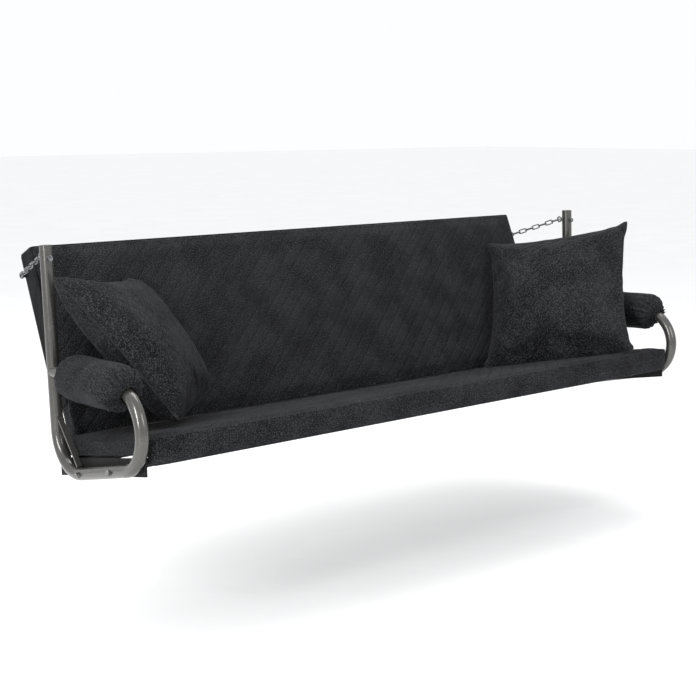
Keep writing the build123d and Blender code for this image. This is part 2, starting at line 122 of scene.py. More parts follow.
# %% Lamps
def lamp(name, place, aim, size, power):
    """A soft rectangular lamp that looks at a point."""
    data = bpy.data.lights.new(name, "AREA")
    data.shape = "RECTANGLE"
    data.size, data.size_y = size
    data.energy = power
    made = bpy.data.objects.new(name, data)
    scene.collection.objects.link(made)
    made.location = place
    made.rotation_euler = (Vector(aim) - Vector(place)).to_track_quat("-Z", "Y").to_euler()


lamp("lamp_above", place=(0.2, 0.4, 2.6), aim=(0, 0, -0.3), size=(3.6, 1.8), power=80)
lamp("lamp_left", place=(-3.4, -1.4, 0.9), aim=(-0.9, 0, -0.3), size=(0.3, 2.0), power=70)
lamp("lamp_front", place=(0.6, -3.6, 1.4), aim=(0.2, 0, -0.3), size=(1.2, 1.6), power=35)
print("lamps:", len(bpy.data.lights))


# %% [markdown]
# ## Node helpers
#
# Every finish below is a small node tree. These helpers keep each one short: one
# opens a node group with named sockets, one adds a Math node, one adds a noise.

# %% Node helpers
FLOAT = "NodeSocketFloat"


def open_group(name, inputs, outputs):
    """A shader node group that reads a vector, and its own inputs and outputs."""
    group = bpy.data.node_groups.new(name, "ShaderNodeTree")
    group.interface.new_socket(name="Vector", in_out="INPUT", socket_type="NodeSocketVector")
    for label, kind, value in inputs:
        socket = group.interface.new_socket(name=label, in_out="INPUT", socket_type=kind)
        socket.default_value = value
    for label, kind in outputs:
        group.interface.new_socket(name=label, in_out="OUTPUT", socket_type=kind)
    entry, leave = group.nodes.new("NodeGroupInput"), group.nodes.new("NodeGroupOutput")
    return group, entry.outputs, leave.inputs


def maths(tree, operation, *values):
    """A Math node fed by sockets or plain numbers."""
    node = tree.nodes.new("ShaderNodeMath")
    node.operation = operation
    for slot, value in zip(node.inputs, values):
        if isinstance(value, (int, float)):
            slot.default_value = value
        else:
            tree.links.new(value, slot)
    return node.outputs[0]


def noise(tree, vector, scale, detail):
    """A Noise texture's grey value."""
    node = tree.nodes.new("ShaderNodeTexNoise")
    node.inputs["Scale"].default_value = scale
    node.inputs["Detail"].default_value = detail
    tree.links.new(vector, node.inputs["Vector"])
    return node.outputs[0]


def ramp(tree, value, low, high, to_low=0.0, to_high=1.0):
    """A Map Range node that eases in and out."""
    node = tree.nodes.new("ShaderNodeMapRange")
    node.interpolation_type = "SMOOTHSTEP"
    tree.links.new(value, node.inputs["Value"])
    limits = {"From Min": low, "From Max": high, "To Min": to_low, "To Max": to_high}
    for slot, number in limits.items():
        node.inputs[slot].default_value = number
    return node.outputs["Result"]


def mix_colour(tree, factor, first, second):
    """A colour mix, each side a socket or a plain colour."""
    node = tree.nodes.new("ShaderNodeMix")
    node.data_type = "RGBA"
    tree.links.new(factor, node.inputs["Factor"])
    for slot, value in ((node.inputs[6], first), (node.inputs[7], second)):
        if isinstance(value, tuple):
            slot.default_value = value
        else:
            tree.links.new(value, slot)
    return node.outputs[2]


print("node helpers ready")

# %% [markdown]
# ## Woven cloth
#
# The covers are a solution-dyed polyester in near-black yarns of two shades, so
# the cloth looks heathered close up and almost black from across a garden. The
# group crosses two sine waves for warp and weft, then lets stray lighter yarns
# through. It reads the flat-cloth coordinates that each cover carries in its
# `cloth` attribute, so the threads bend with the cover.

# %% Woven cloth group
weave, take, give = open_group(
    "woven_cloth",
    [
        ("Thread", FLOAT, 0.0016),
        ("Dark yarn", "NodeSocketColor", (0.006, 0.006, 0.007, 1)),
        ("Pale yarn", "NodeSocketColor", (0.035, 0.035, 0.037, 1)),
        ("Flecks", FLOAT, 0.5),
    ],
    [("Color", "NodeSocketColor"), ("Height", FLOAT), ("Roughness", FLOAT)],
)
split = weave.nodes.new("ShaderNodeSeparateXYZ")
weave.links.new(take["Vector"], split.inputs[0])
turns = maths(weave, "DIVIDE", 2 * math.pi, take["Thread"])
warp = maths(weave, "SINE", maths(weave, "MULTIPLY", split.outputs["X"], turns))
weft = maths(weave, "SINE", maths(weave, "MULTIPLY", split.outputs["Y"], turns))
crossing = maths(weave, "MULTIPLY_ADD", maths(weave, "MULTIPLY", warp, weft), 0.5, 0.5)
yarn = ramp(weave, noise(weave, take["Vector"], 330.0, 4.0), 0.49, 0.63)
fleck = maths(weave, "MULTIPLY", yarn, take["Flecks"])
cloudy = ramp(weave, noise(weave, take["Vector"], 9.0, 3.0), 0.35, 0.65, 0.0, 0.25)
shade = maths(weave, "ADD", fleck, maths(weave, "MULTIPLY", cloudy, crossing))
weave.links.new(mix_colour(weave, shade, take["Dark yarn"], take["Pale yarn"]), give["Color"])
weave.links.new(crossing, give["Height"])
weave.links.new(ramp(weave, yarn, 0.0, 1.0, 0.78, 0.92), give["Roughness"])
print("woven cloth nodes:", len(weave.nodes))

# %% [markdown]
# ## Diamond quilting
#
# The panels are quilted with two sets of slanting stitch lines. The distance to
# the nearest line gives the groove, and a dashed strip along it gives the thread.
# Broad puffs are real geometry later on. This group adds what is finer than the
# mesh: the tight groove and the stitches in it.

# %% Diamond quilting group
quilt, take, give = open_group(
    "diamond_quilting",
    [
        ("Spacing", FLOAT, 0.034),
        ("Stitch", FLOAT, 0.004),
    ],
    [("Height", FLOAT), ("Thread", FLOAT)],
)
split = quilt.nodes.new("ShaderNodeSeparateXYZ")
quilt.links.new(take["Vector"], split.inputs[0])
STITCH_SHARE = 0.62  # of each stitch's run that shows as thread
THREAD_HALF = (0.044, 0.014)  # half widths, as parts of the spacing, with the slack in
LINE_SLACK = (0.03, 0.0)  # the rising lines are sewn a little looser

step = maths(quilt, "MULTIPLY", take["Spacing"], math.sqrt(2))
lines = []
for operation in ("ADD", "SUBTRACT"):
    slanted = maths(quilt, operation, split.outputs["X"], split.outputs["Y"])
    lines.append(maths(quilt, "DIVIDE", slanted, step))
near, dash = [], []
for one, other, slack in zip(lines, lines[::-1], LINE_SLACK):
    near.append(maths(quilt, "ADD", maths(quilt, "PINGPONG", one, 0.5), slack))
    per_stitch = maths(quilt, "DIVIDE", take["Spacing"], take["Stitch"])
    run = maths(quilt, "MULTIPLY", other, per_stitch)
    dash.append(maths(quilt, "LESS_THAN", maths(quilt, "FRACT", run), STITCH_SHARE))
groove = maths(quilt, "MINIMUM", near[0], near[1])
quilt.links.new(ramp(quilt, groove, 0.0, 0.1), give["Height"])
threads = [
    maths(quilt, "MULTIPLY", maths(quilt, "LESS_THAN", gap, half), shown)
    for gap, shown, half in zip(near, dash, THREAD_HALF)
]
quilt.links.new(maths(quilt, "MAXIMUM", threads[0], threads[1]), give["Thread"])
print("quilting nodes:", len(quilt.nodes))

# %% [markdown]
# ## Paint and plating
#
# The frame is sprayed with a satin metallic paint, which dries with a faint
# orange-peel and collects small scuffs. Zinc comes as bright plating on the
# bolts and as hot-dip spangle on the chains. One group serves all, and the
# plastic, the thread and the floor too: a fine ripple, a patchy tint and a sparse
# scuff mask.

# %% Metal surface group
surface, take, give = open_group(
    "metal_surface",
    [
        ("Ripple scale", FLOAT, 420.0),
        ("Patch scale", FLOAT, 60.0),
        ("Gloss low", FLOAT, 0.22),
        ("Gloss high", FLOAT, 0.42),
    ],
    [(label, FLOAT) for label in ("Patch", "Ripple", "Roughness", "Scuffs")],
)
ripple = surface.nodes.new("ShaderNodeTexNoise")
surface.links.new(take["Vector"], ripple.inputs["Vector"])
surface.links.new(take["Ripple scale"], ripple.inputs["Scale"])
patch = surface.nodes.new("ShaderNodeTexVoronoi")
surface.links.new(take["Vector"], patch.inputs["Vector"])
surface.links.new(take["Patch scale"], patch.inputs["Scale"])
tone = surface.nodes.new("ShaderNodeSeparateColor")
surface.links.new(patch.outputs["Color"], tone.inputs[0])
scuff = ramp(surface, noise(surface, take["Vector"], 95.0, 5.0), 0.64, 0.72)
span = maths(surface, "SUBTRACT", take["Gloss high"], take["Gloss low"])
worn = maths(surface, "MULTIPLY", span, noise(surface, take["Vector"], 24.0, 4.0))
surface.links.new(tone.outputs[0], give["Patch"])
surface.links.new(ripple.outputs[0], give["Ripple"])
surface.links.new(maths(surface, "ADD", worn, take["Gloss low"]), give["Roughness"])
surface.links.new(scuff, give["Scuffs"])
print("metal surface nodes:", len(surface.nodes))


# %% Helpers that open a finish and place a group in it
def open_finish(name, metallic=0.0, sheen=0.0, coat=0.0):
    """A new material, its tree and its shader."""
    made = bpy.data.materials.new(name)
    made.use_nodes = True
    shader = made.node_tree.nodes["Principled BSDF"]
    shader.inputs["Metallic"].default_value = metallic
    shader.inputs["Sheen Weight"].default_value = sheen
    shader.inputs["Coat Weight"].default_value = coat
    return made, made.node_tree, shader


def place_group(tree, group, vector, **values):
    """A group node, with its vector linked and its named values set."""
    node = tree.nodes.new("ShaderNodeGroup")
    node.node_tree = group
    tree.links.new(vector, node.inputs["Vector"])
    for label, value in values.items():
        node.inputs[label.replace("_", " ")].default_value = value
    return node.outputs


def raise_surface(tree, shader, height, depth):
    """Feed a height through a Bump node."""
    node = tree.nodes.new("ShaderNodeBump")
    node.inputs["Distance"].default_value = depth
    node.inputs["Strength"].default_value = 1.0
    tree.links.new(height, node.inputs["Height"])
    tree.links.new(node.outputs[0], shader.inputs["Normal"])


# %% [markdown]
# ## The finishes
#
# Three cloth finishes share the weave: plain for the boxing and the bolsters,
# quilted for the panels, and a quieter backing for the pocket. The others share
# the metal surface, each with its own colours, gloss and scales.

# %% Cloth finishes
DARK_YARN, PALE_YARN = 0.0048, 0.062
THREAD_COLOUR = (0.012, 0.012, 0.013, 1)
finishes = {}


def cloth_finish(name, quilted, flecks):
    """The weave, with the quilting over it where the cloth is quilted."""
    made, tree, shader = open_finish(name, sheen=0.02)
    shader.inputs["Specular IOR Level"].default_value = 0.05
    shader.inputs["Sheen Roughness"].default_value = 0.45
    flat = tree.nodes.new("ShaderNodeAttribute")
    flat.attribute_name = "cloth"
    spun = place_group(tree, weave, flat.outputs["Vector"], Flecks=flecks)
    for label, value in (("Dark yarn", DARK_YARN), ("Pale yarn", PALE_YARN)):
        spun["Color"].node.inputs[label].default_value = (value * 0.97, value, value * 1.08, 1)
    colour = spun["Color"]
    height = maths(tree, "MULTIPLY", spun["Height"], 0.12)
    if quilted:
        sewn = place_group(tree, quilt, flat.outputs["Vector"])
        colour = mix_colour(tree, sewn["Thread"], colour, THREAD_COLOUR)
        height = maths(tree, "ADD", height, sewn["Height"])
    tree.links.new(colour, shader.inputs["Base Color"])
    tree.links.new(spun["Roughness"], shader.inputs["Roughness"])
    raise_surface(tree, shader, height, 0.0011 if quilted else 0.0015)
    finishes[name] = made


cloth_finish("outdoor_fabric", quilted=False, flecks=0.62)
cloth_finish("quilted_fabric", quilted=True, flecks=0.58)
cloth_finish("backing_fabric", quilted=False, flecks=0.25)
print("cloth finishes:", sorted(finishes))


# %% Paint, plating, plastic, thread and floor
def metal_finish(name, dark, pale, metallic, coat, gloss, scales, depth):
    made, tree, shader = open_finish(name, metallic=metallic, coat=coat)
    shader.inputs["Coat Roughness"].default_value = 0.12
    shader.inputs["Specular IOR Level"].default_value = 0.5 if metallic else 0.2
    own = tree.nodes.new("ShaderNodeTexCoord").outputs["Object"]
    skin = place_group(
        tree, surface, own,
        Ripple_scale=scales[0], Patch_scale=scales[1], Gloss_low=gloss[0], Gloss_high=gloss[1],
    )
    tint = mix_colour(tree, skin["Patch"], dark + (1,), pale + (1,))
    scuffed = mix_colour(tree, skin["Scuffs"], tint, pale + (1,))
    tree.links.new(scuffed, shader.inputs["Base Color"])
    tree.links.new(skin["Roughness"], shader.inputs["Roughness"])
    raise_surface(tree, shader, skin["Ripple"], depth)
    finishes[name] = made


# Dark, pale; metallic, coat, gloss range, ripple and patch scales, ripple depth.
SURFACES = {
    "frame_paint": (
        (0.072, 0.071, 0.066), (0.094, 0.092, 0.085),
        0.6, 0.3, (0.14, 0.34), (520, 300), 0.00006,
    ),
    "wire_paint": (
        (0.006,) * 3, (0.012,) * 3,
        0.0, 0.0, (0.6, 0.8), (520, 260), 0.0001,
    ),
    "galvanised_steel": (
        (0.1, 0.102, 0.105), (0.26, 0.265, 0.27),
        1.0, 0.0, (0.34, 0.6), (900, 160), 0.00008,
    ),
    "zinc_plated_steel": (
        (0.13, 0.13, 0.127), (0.24, 0.237, 0.23),
        1.0, 0.0, (0.22, 0.4), (900, 300), 0.00005,
    ),
    "plug_plastic": (
        (0.012,) * 3, (0.03,) * 3,
        0.0, 0.0, (0.35, 0.55), (700, 400), 0.00008,
    ),
    "sewing_thread": (
        (0.008, 0.008, 0.009), (0.02, 0.02, 0.021),
        0.0, 0.0, (0.6, 0.8), (3000, 900), 0.00005,
    ),
    "floor_paint": (
        (0.93,) * 3, (0.95,) * 3,
        0.0, 0.0, (0.8, 0.95), (30, 3), 0.0002,
    ),
}
for name, values in SURFACES.items():
    metal_finish(name, *values)
floor.data.materials.append(finishes["floor_paint"])
print("all finishes:", len(finishes))

# %% Give every CAD piece its finish
for node_name in cad_nodes:
    for holder in bpy.data.objects[node_name].material_slots:
        holder.material = finishes[holder.material.name.split(".")[0]]
print("dressed nodes:", len(cad_nodes))

# %% [markdown]
# ## A soft box
#
# A boxed cushion starts as a closed grid of small squares, all about a
# centimetre, because cloth only folds where it has vertices. The grid is mapped
# to a box with rounded edges. Its flat position is kept in the `cloth`
# attribute before anything bends it. Pillows and the pocket start the same way.

# %% Grid, rounding and the cloth attribute
def ease(value, low, high):
    """Smooth step from 0 at low to 1 at high."""
    t = np.clip((value - low) / (high - low), 0, 1)
    return t * t * (3 - 2 * t)


def box_grid(nx, ny, nz):
    """A closed box of squares with corners at -1 and 1, and an index by place."""
    index, points, faces = {}, [], []

    def corner(i, j, k):
        if (i, j, k) not in index:
            index[i, j, k] = len(points)
            points.append((2 * i / nx - 1, 2 * j / ny - 1, 2 * k / nz - 1))
        return index[i, j, k]

    def square(*places):
        faces.append(tuple(corner(*place) for place in places))

    for i in range(nx):
        for j in range(ny):
            square((i, j, nz), (i + 1, j, nz), (i + 1, j + 1, nz), (i, j + 1, nz))
            square((i, j, 0), (i, j + 1, 0), (i + 1, j + 1, 0), (i + 1, j, 0))
    for i in range(nx):
        for k in range(nz):
            square((i, 0, k), (i + 1, 0, k), (i + 1, 0, k + 1), (i, 0, k + 1))
            square((i, ny, k), (i, ny, k + 1), (i + 1, ny, k + 1), (i + 1, ny, k))
    for j in range(ny):
        for k in range(nz):
            square((0, j, k), (0, j, k + 1), (0, j + 1, k + 1), (0, j + 1, k))
            square((nx, j, k), (nx, j + 1, k), (nx, j + 1, k + 1), (nx, j, k + 1))
    return np.array(points), faces, index


def round_box(units, half, radius):
    """Map unit points to a box of that half size with rounded edges."""
    half = np.array(half)
    place = units * half
    core = np.clip(place, radius - half, half - radius)
    out = place - core
    length = np.linalg.norm(out, axis=1, keepdims=True)
    return core + out / np.maximum(length, 1e-9) * np.minimum(length, radius)


def unroll(shape):
    """A boxed cover's own cloth coordinates: the front and rear run on from the top."""
    return np.stack([shape[:, 0], shape[:, 1] - shape[:, 2], shape[:, 2]], axis=1)


def keep_flat(piece, flat):
    """Store where each vertex lay on the flat cloth."""
    layer = piece.data.attributes.new("cloth", "FLOAT_VECTOR", "POINT")
    layer.data.foreach_set("vector", np.ascontiguousarray(flat, dtype=np.float32).ravel())


def read_rows(items, field):
    """One row of three numbers for each item."""
    numbers = np.empty(len(items) * 3, dtype=np.float32)
    items.foreach_get(field, numbers)
    return numbers.reshape(-1, 3).astype(float)


def read_points(mesh):
    return read_rows(mesh.vertices, "co")


def write_points(mesh, points):
    """Put the vertices back, in the same order."""
    mesh.vertices.foreach_set("co", np.ascontiguousarray(points, dtype=np.float32).ravel())
    mesh.update()


print("grid helpers ready")


# %% [markdown]
# ## Filling a cover
#
# Blender's Cloth with air pressure does what stuffing does: it crowns the
# panels, pulls the seams in between the corners and leaves small wrinkles near
# them. Gravity is off, because the cushion is held up. Each vertex may move only
# so far, so the cover stays in its place, and the seams of a boxed cushion are
# held where they are, because piping and foam keep them straight. Subdivision
# then smooths the cover.

# %% Filling and subdividing
SEAM_REACH = 0.030


def seam_hold(units, half):
    """0 on a box's edges, where the seams hold the cloth, and 1 well inside its panels."""
    gaps = np.sort((1 - np.abs(units)) * np.array(half), axis=1)[:, 1]
    return ease(gaps, 0, SEAM_REACH)[:, None]


def fill_cover(piece, pressure, limit, frames, hold=1.0):
    """Blow the cover up with air and keep the result, moved by the limit at most."""
    start = read_points(piece.data)
    cloth = piece.modifiers.new("filling", "CLOTH")
    cloth.settings.quality = 4
    cloth.settings.tension_stiffness = 12
    cloth.settings.compression_stiffness = 8
    cloth.settings.bending_stiffness = 0.4
    cloth.settings.use_pressure = True
    cloth.settings.uniform_pressure_force = pressure
    cloth.settings.effector_weights.gravity = 0
    cloth.collision_settings.use_collision = False
    cloth.point_cache.frame_start = 1
    cloth.point_cache.frame_end = frames
    for number in range(1, frames + 1):
        scene.frame_set(number)
    blown = piece.evaluated_get(bpy.context.evaluated_depsgraph_get())
    moved = read_points(blown.data) - start
    length = np.linalg.norm(moved, axis=1, keepdims=True)
    eased = limit * np.tanh(length / limit)
    piece.modifiers.remove(cloth)
    scene.frame_set(1)
    write_points(piece.data, start + moved / np.maximum(length, 1e-9) * eased * hold)
    print("  filled", piece.name, "largest move", round(float(eased.max()) * 1000, 1), "mm")


def apply_modifiers(piece):
    """Make the evaluated mesh the piece's own, with its cloth attribute."""
    graph = bpy.context.evaluated_depsgraph_get()
    result = bpy.data.meshes.new_from_object(
        piece.evaluated_get(graph), preserve_all_data_layers=True, depsgraph=graph,
    )
    piece.modifiers.clear()
    piece.data = result
    piece.data.name = piece.name
    piece.data.shade_smooth()


def subdivide(piece, levels):
    """Apply a subdivision surface."""
    finer = piece.modifiers.new("finer", "SUBSURF")
    finer.levels = finer.render_levels = levels
    apply_modifiers(piece)


def flat_points(mesh):
    return read_rows(mesh.attributes["cloth"].data, "vector")


def sew_diamonds(piece, spacing, depth, width, where):
    """Pull the cover in along slanting stitch lines."""
    flat = flat_points(piece.data)
    step = spacing * math.sqrt(2)
    pull = np.zeros(len(flat))
    for turn, tension in ((-1, 1.0), (1, 0.6)):
        along = (flat[:, 0] + turn * flat[:, 1]) / step
        gap = np.abs(along - np.round(along)) * spacing
        pull = np.maximum(pull, tension * np.exp(-((gap / width) ** 2)))
    dent = pull[:, None] * depth * where[:, None]
    outward = read_rows(piece.data.vertex_normals, "vector")
    write_points(piece.data, read_points(piece.data) - outward * dent)


def dress_panels(piece, units):
    """Plain cloth on a boxed cover, quilted on its top panel."""
    for name in ("outdoor_fabric", "quilted_fabric"):
        piece.data.materials.append(finishes[name])
    for face in piece.data.polygons:
        face.material_index = int(all(units[v][2] > 0.99 for v in face.vertices))


def place_mesh(piece, matrix):
    """Move the mesh itself, so the object stays at the origin."""
    piece.data.transform(matrix)
    piece.data.update()


print("filling helpers ready")

# %% [markdown]
# ## The seat cushion
#
# A long boxed pad that lies on the wire grid. Its top panel is quilted and its
# front boxing hangs down as an apron over the front tube. It is made flat, in
# the seat's own slope, filled, pressed flat where it lies on the wires, and
# quilted. Only then is it tilted into place.

# %% Seat cushion: grid and shape
SEAT_TILT = math.radians(11.3)
SEAT_FRONT_EDGE = Vector((0, -0.45147, -0.4510))
SEAT_HALF = 0.926
SEAT_DEPTH = 0.4555
SEAT_PAD = 0.038
APRON = 0.0245  # how far the front boxing hangs below the wires
APRON_BAND = 0.0165  # depth of the part that hangs in front of the tube
FRONT_LEAN = 0.0125  # how far the front edge's top stands forward of its foot
QUILT_STEP = 0.034


def slope_frame(y, z, edge):
    """A pad's axes: across the bench, along its slope, and out of its face."""
    return Matrix(((1, 0, 0, 0), (0, y, -z, edge.y), (0, z, y, edge.z), (0, 0, 0, 1)))


seat_frame = slope_frame(math.cos(SEAT_TILT), -math.sin(SEAT_TILT), SEAT_FRONT_EDGE)
FRONT_ROWS, ALL_ROWS = 6, 56
seat_units, seat_faces, seat_index = box_grid(204, ALL_ROWS, 8)
seat_half = (SEAT_HALF + 0.005, SEAT_DEPTH / 2, SEAT_PAD / 2)
rows = (seat_units[:, 1] + 1) / 2 * ALL_ROWS
row_marks = (-1, -1 + 2 * APRON_BAND / SEAT_DEPTH, 1)
close_rows = np.interp(rows, (0, FRONT_ROWS, ALL_ROWS), row_marks)
packed = np.stack([seat_units[:, 0], close_rows, seat_units[:, 2]], axis=1)
shape = round_box(packed, seat_half, 0.004)
shape[:, 1] += SEAT_DEPTH / 2
level_up = (shape[:, 2] / seat_half[2] + 1) / 2
front_part = 1 - ease(shape[:, 1], 0.0135, 0.0175)
low = -APRON * front_part
shape[:, 2] = low + level_up * (SEAT_PAD + 0.0015 - low) + 0.0005 * (1 - front_part)
shape[:, 1] -= level_up * FRONT_LEAN * (1 - ease(shape[:, 1], 0.0, 0.06))
CORNER_ROUND = 0.024
past_end = np.abs(shape[:, 0]) - (seat_half[0] - CORNER_ROUND)
past_front = CORNER_ROUND - FRONT_LEAN * level_up - shape[:, 1]
bent = (past_end > 0) & (past_front > 0)
longer = np.maximum(past_end, past_front)[bent]
shrink = longer / np.hypot(past_end[bent], past_front[bent])
shape[bent, 1] += past_front[bent] * (1 - shrink)
shape[bent, 0] -= np.sign(shape[bent, 0]) * past_end[bent] * (1 - shrink)
seat = plain_mesh("seat_cushion_soft", shape, seat_faces)
keep_flat(seat, unroll(shape))
dress_panels(seat, seat_units)
print("seat squares:", len(seat.data.polygons))

# %% Seat cushion: fill, press and quilt
fill_cover(seat, 3.0, 0.008, 14, seam_hold(packed, seat_half))
points = read_points(seat.data)
# Behind the tube the pad lies on the wires; in front of it the apron hangs clear.
behind = points[:, 1] > 0.0178
points[behind, 2] = np.maximum(points[behind, 2], 0.0004)
hanging = points[:, 2] < -0.001
points[hanging, 1] = np.minimum(points[hanging, 1], 0.0172)
points[:, 2] = np.maximum(points[:, 2], -APRON - 0.001)
widest = np.where(points[:, 2] > 0.004, 0.9325, 0.928)  # the ends stay inside the rails
points[:, 0] = np.clip(points[:, 0], -widest, widest)
write_points(seat.data, points)
subdivide(seat, 1)
top_side = ease(read_points(seat.data)[:, 2], 0.026, 0.034)
rim = flat_points(seat.data)
inside = ease(SEAT_HALF - np.abs(rim[:, 0]), 0.012, 0.035)
inside *= ease(rim[:, 1], -0.02, 0.01)
sew_diamonds(seat, QUILT_STEP, 0.0013, 0.0055, top_side * inside)
place_mesh(seat, seat_frame)
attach(seat, "bench")
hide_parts("seat_cushion")
print("seat cushion squares:", len(seat.data.polygons))

# %% [markdown]
# ## The back cushion
#
# The same kind of pad stands against the backrest's wires. It is made in the
# backrest's own slope: up the back, and out towards the sitter.

# %% Back cushion
RECLINE = math.radians(23.93)
BACK_EDGE = Vector((0, 0.00153, -0.4975))
BACK_HALF = 0.890
BACK_HEIGHT = 0.525
BACK_PAD = 0.050

back_frame = slope_frame(math.sin(RECLINE), math.cos(RECLINE), BACK_EDGE)
back_units, back_faces, back_index = box_grid(196, 60, 6)
back_half = (BACK_HALF - 0.003, BACK_HEIGHT / 2 - 0.003, BACK_PAD / 2 - 0.001)
shape = round_box(back_units, back_half, 0.010)
shape[:, 1] += BACK_HEIGHT / 2
shape[:, 2] -= BACK_PAD / 2 - 0.001
back = plain_mesh("back_cushion_soft", shape, back_faces)
keep_flat(back, unroll(shape))
dress_panels(back, back_units)
fill_cover(back, 3.0, 0.009, 14, seam_hold(back_units, back_half))
points = read_points(back.data)
# What the pocket covers stays inside it, and the rest stays off the frame.
covered = points[:, 2] < -0.004
points[covered, 0] = np.clip(points[covered, 0], -BACK_HALF + 0.0035, BACK_HALF - 0.0035)
points[covered, 1] = np.minimum(points[covered, 1], BACK_HEIGHT - 0.0035)
points[:, 1] = np.maximum(points[:, 1], 0.001)
points[:, 2] = np.maximum(points[:, 2], -BACK_PAD + 0.0004)
write_points(back.data, points)
subdivide(back, 1)
fronts = ease(read_points(back.data)[:, 2], -0.018, -0.006)
rim = flat_points(back.data)
inside = ease(BACK_HALF - np.abs(rim[:, 0]), 0.012, 0.035) * ease(rim[:, 1], 0.0, 0.03)
inside *= ease(BACK_HEIGHT + 0.02 - rim[:, 1], 0.0, 0.03)
sew_diamonds(back, QUILT_STEP, 0.0014, 0.0055, fronts * inside)
place_mesh(back, back_frame)
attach(back, "backrest")
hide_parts("back_cushion")
print("back cushion squares:", len(back.data.polygons))

# %% [markdown]
# ## The pocket that holds the back cushion
#
# A cloth pocket is sewn to the back of the cushion and slips over the top of the
# backrest's frame, open below. It is one cloth drawn tight over the tubes, and it
# comes forward round the pad's top and ends. It is made as a single skin, without
# its front and without its lower side, and Solidify gives it its thickness
# inwards.

# %% Pocket
POCKET_LOW = 0.090
POCKET_REAR = 0.081
POCKET_FRONT = 0.008
POCKET_CORNER = 0.008
POCKET_SKIN = 0.0018
pocket_units, pocket_faces, _ = box_grid(150, 38, 8)
open_faces = [
    f for f in pocket_faces
    if not all(pocket_units[v][2] > 0.99 for v in f)
    and not all(pocket_units[v][1] < -0.99 for v in f)
]
pocket_half = np.array(
    (BACK_HALF + 0.0005, (BACK_HEIGHT - POCKET_LOW) / 2, (POCKET_REAR - POCKET_FRONT) / 2)
)
shape = pocket_units * pocket_half
cut = pocket_half - POCKET_CORNER
core = np.clip(shape, -cut, cut)
core[:, 2] = np.maximum(core[:, 2], -cut[2])
out = shape - core
out[:, 1] = np.maximum(out[:, 1], 0)
length = np.linalg.norm(out, axis=1, keepdims=True)
lower_rim = pocket_units[:, 1] < -0.99
mouth = pocket_units[:, 2] > 0.6
rounded = core + out / np.maximum(length, 1e-9) * np.minimum(length, POCKET_CORNER)
rounded[lower_rim, 1] = -pocket_half[1]
rounded[mouth, 2] = shape[mouth, 2]
rounded[:, 1] += (BACK_HEIGHT + POCKET_LOW) / 2
rounded[:, 2] -= POCKET_REAR - pocket_half[2]
across, upward = rounded[:, 0], rounded[:, 1]
waves = np.sin(across * 31 + 2.2 * np.sin(upward * 17)) * np.sin(upward * 23 + across * 5)
ripple = 0.0011 * (waves + 1)
rear_side = 1 - ease(rounded[:, 2], -0.0805, -0.078)
rounded[:, 2] -= ripple * rear_side * ease(BACK_HEIGHT - upward, 0.01, 0.06)
pocket = plain_mesh("back_pocket_cloth", rounded, open_faces)
keep_flat(pocket, unroll(rounded))
pocket.data.materials.append(finishes["backing_fabric"])
loose = bmesh.new()
loose.from_mesh(pocket.data)
bmesh.ops.delete(loose, geom=[v for v in loose.verts if not v.link_faces], context="VERTS")
pocket_area = sum(f.calc_area() for f in loose.faces)
loose.to_mesh(pocket.data)
loose.free()
skin = pocket.modifiers.new("skin", "SOLIDIFY")
skin.thickness = POCKET_SKIN
skin.offset = -1
skin.use_even_offset = True
apply_modifiers(pocket)
place_mesh(pocket, back_frame)
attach(pocket, "backrest")
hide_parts("back_cushion_pocket")
print("pocket cloth area:", round(pocket_area, 3), "m2")

# %% [markdown]
# ## The arm bolsters
#
# Each arm wears a round foam sleeve in the same cloth. Its ends are gathered
# round the tube by a cord, so the cloth falls in radial pleats, and at the front
# a small frill stands out past the gather. It is a tube of rings that follows
# the arm and the start of the loop, with the pleats deepest at the gathers, and
# it turns back inside to lie on the steel.

# %% Bolster path
ARM_X = 0.950
LOOP_R = 0.0972
RAIL_TILT = math.radians(13.7)
ARM_DROP = math.radians(1.9)
BOLSTER_WRAP = math.radians(29.0)
RAIL_RUN = 0.3604
ROW_SHIFT = np.array((-0.02647, -0.5830))
BOLSTER_REAR_Y = -0.078

loop_start = np.array((-RAIL_RUN * math.cos(RAIL_TILT), RAIL_RUN * math.sin(RAIL_TILT)))
loop_centre = loop_start + LOOP_R * np.array((math.sin(RAIL_TILT), math.cos(RAIL_TILT))) + ROW_SHIFT
arm_start_y = loop_centre[0] - ROW_SHIFT[0] + LOOP_R * math.sin(ARM_DROP)
arm_length = (BOLSTER_REAR_Y - arm_start_y) / math.cos(ARM_DROP)
wrap_length = LOOP_R * BOLSTER_WRAP
sleeve_length = wrap_length + arm_length


def arm_path(s):
    """Centre and outward direction of the arm at a distance from the bolster's front end."""
    if s < wrap_length:
        angle = ARM_DROP - (wrap_length - s) / LOOP_R
        out = np.array((math.sin(angle), math.cos(angle)))
        return loop_centre + LOOP_R * out, out
    out = np.array((math.sin(ARM_DROP), math.cos(ARM_DROP)))
    back_along = np.array((math.cos(ARM_DROP), -math.sin(ARM_DROP)))
    return loop_centre + LOOP_R * out + back_along * (s - wrap_length), out


print("bolster length:", round(sleeve_length, 3))

# %% Bolster rings
ROUND = 112
SLEEVE_R = 0.0570
BORE_R = 0.0164
NECK_R = 0.0180
FRILL = 0.010  # how far the frill stands past the front gather
angles = np.arange(ROUND) * 2 * math.pi / ROUND


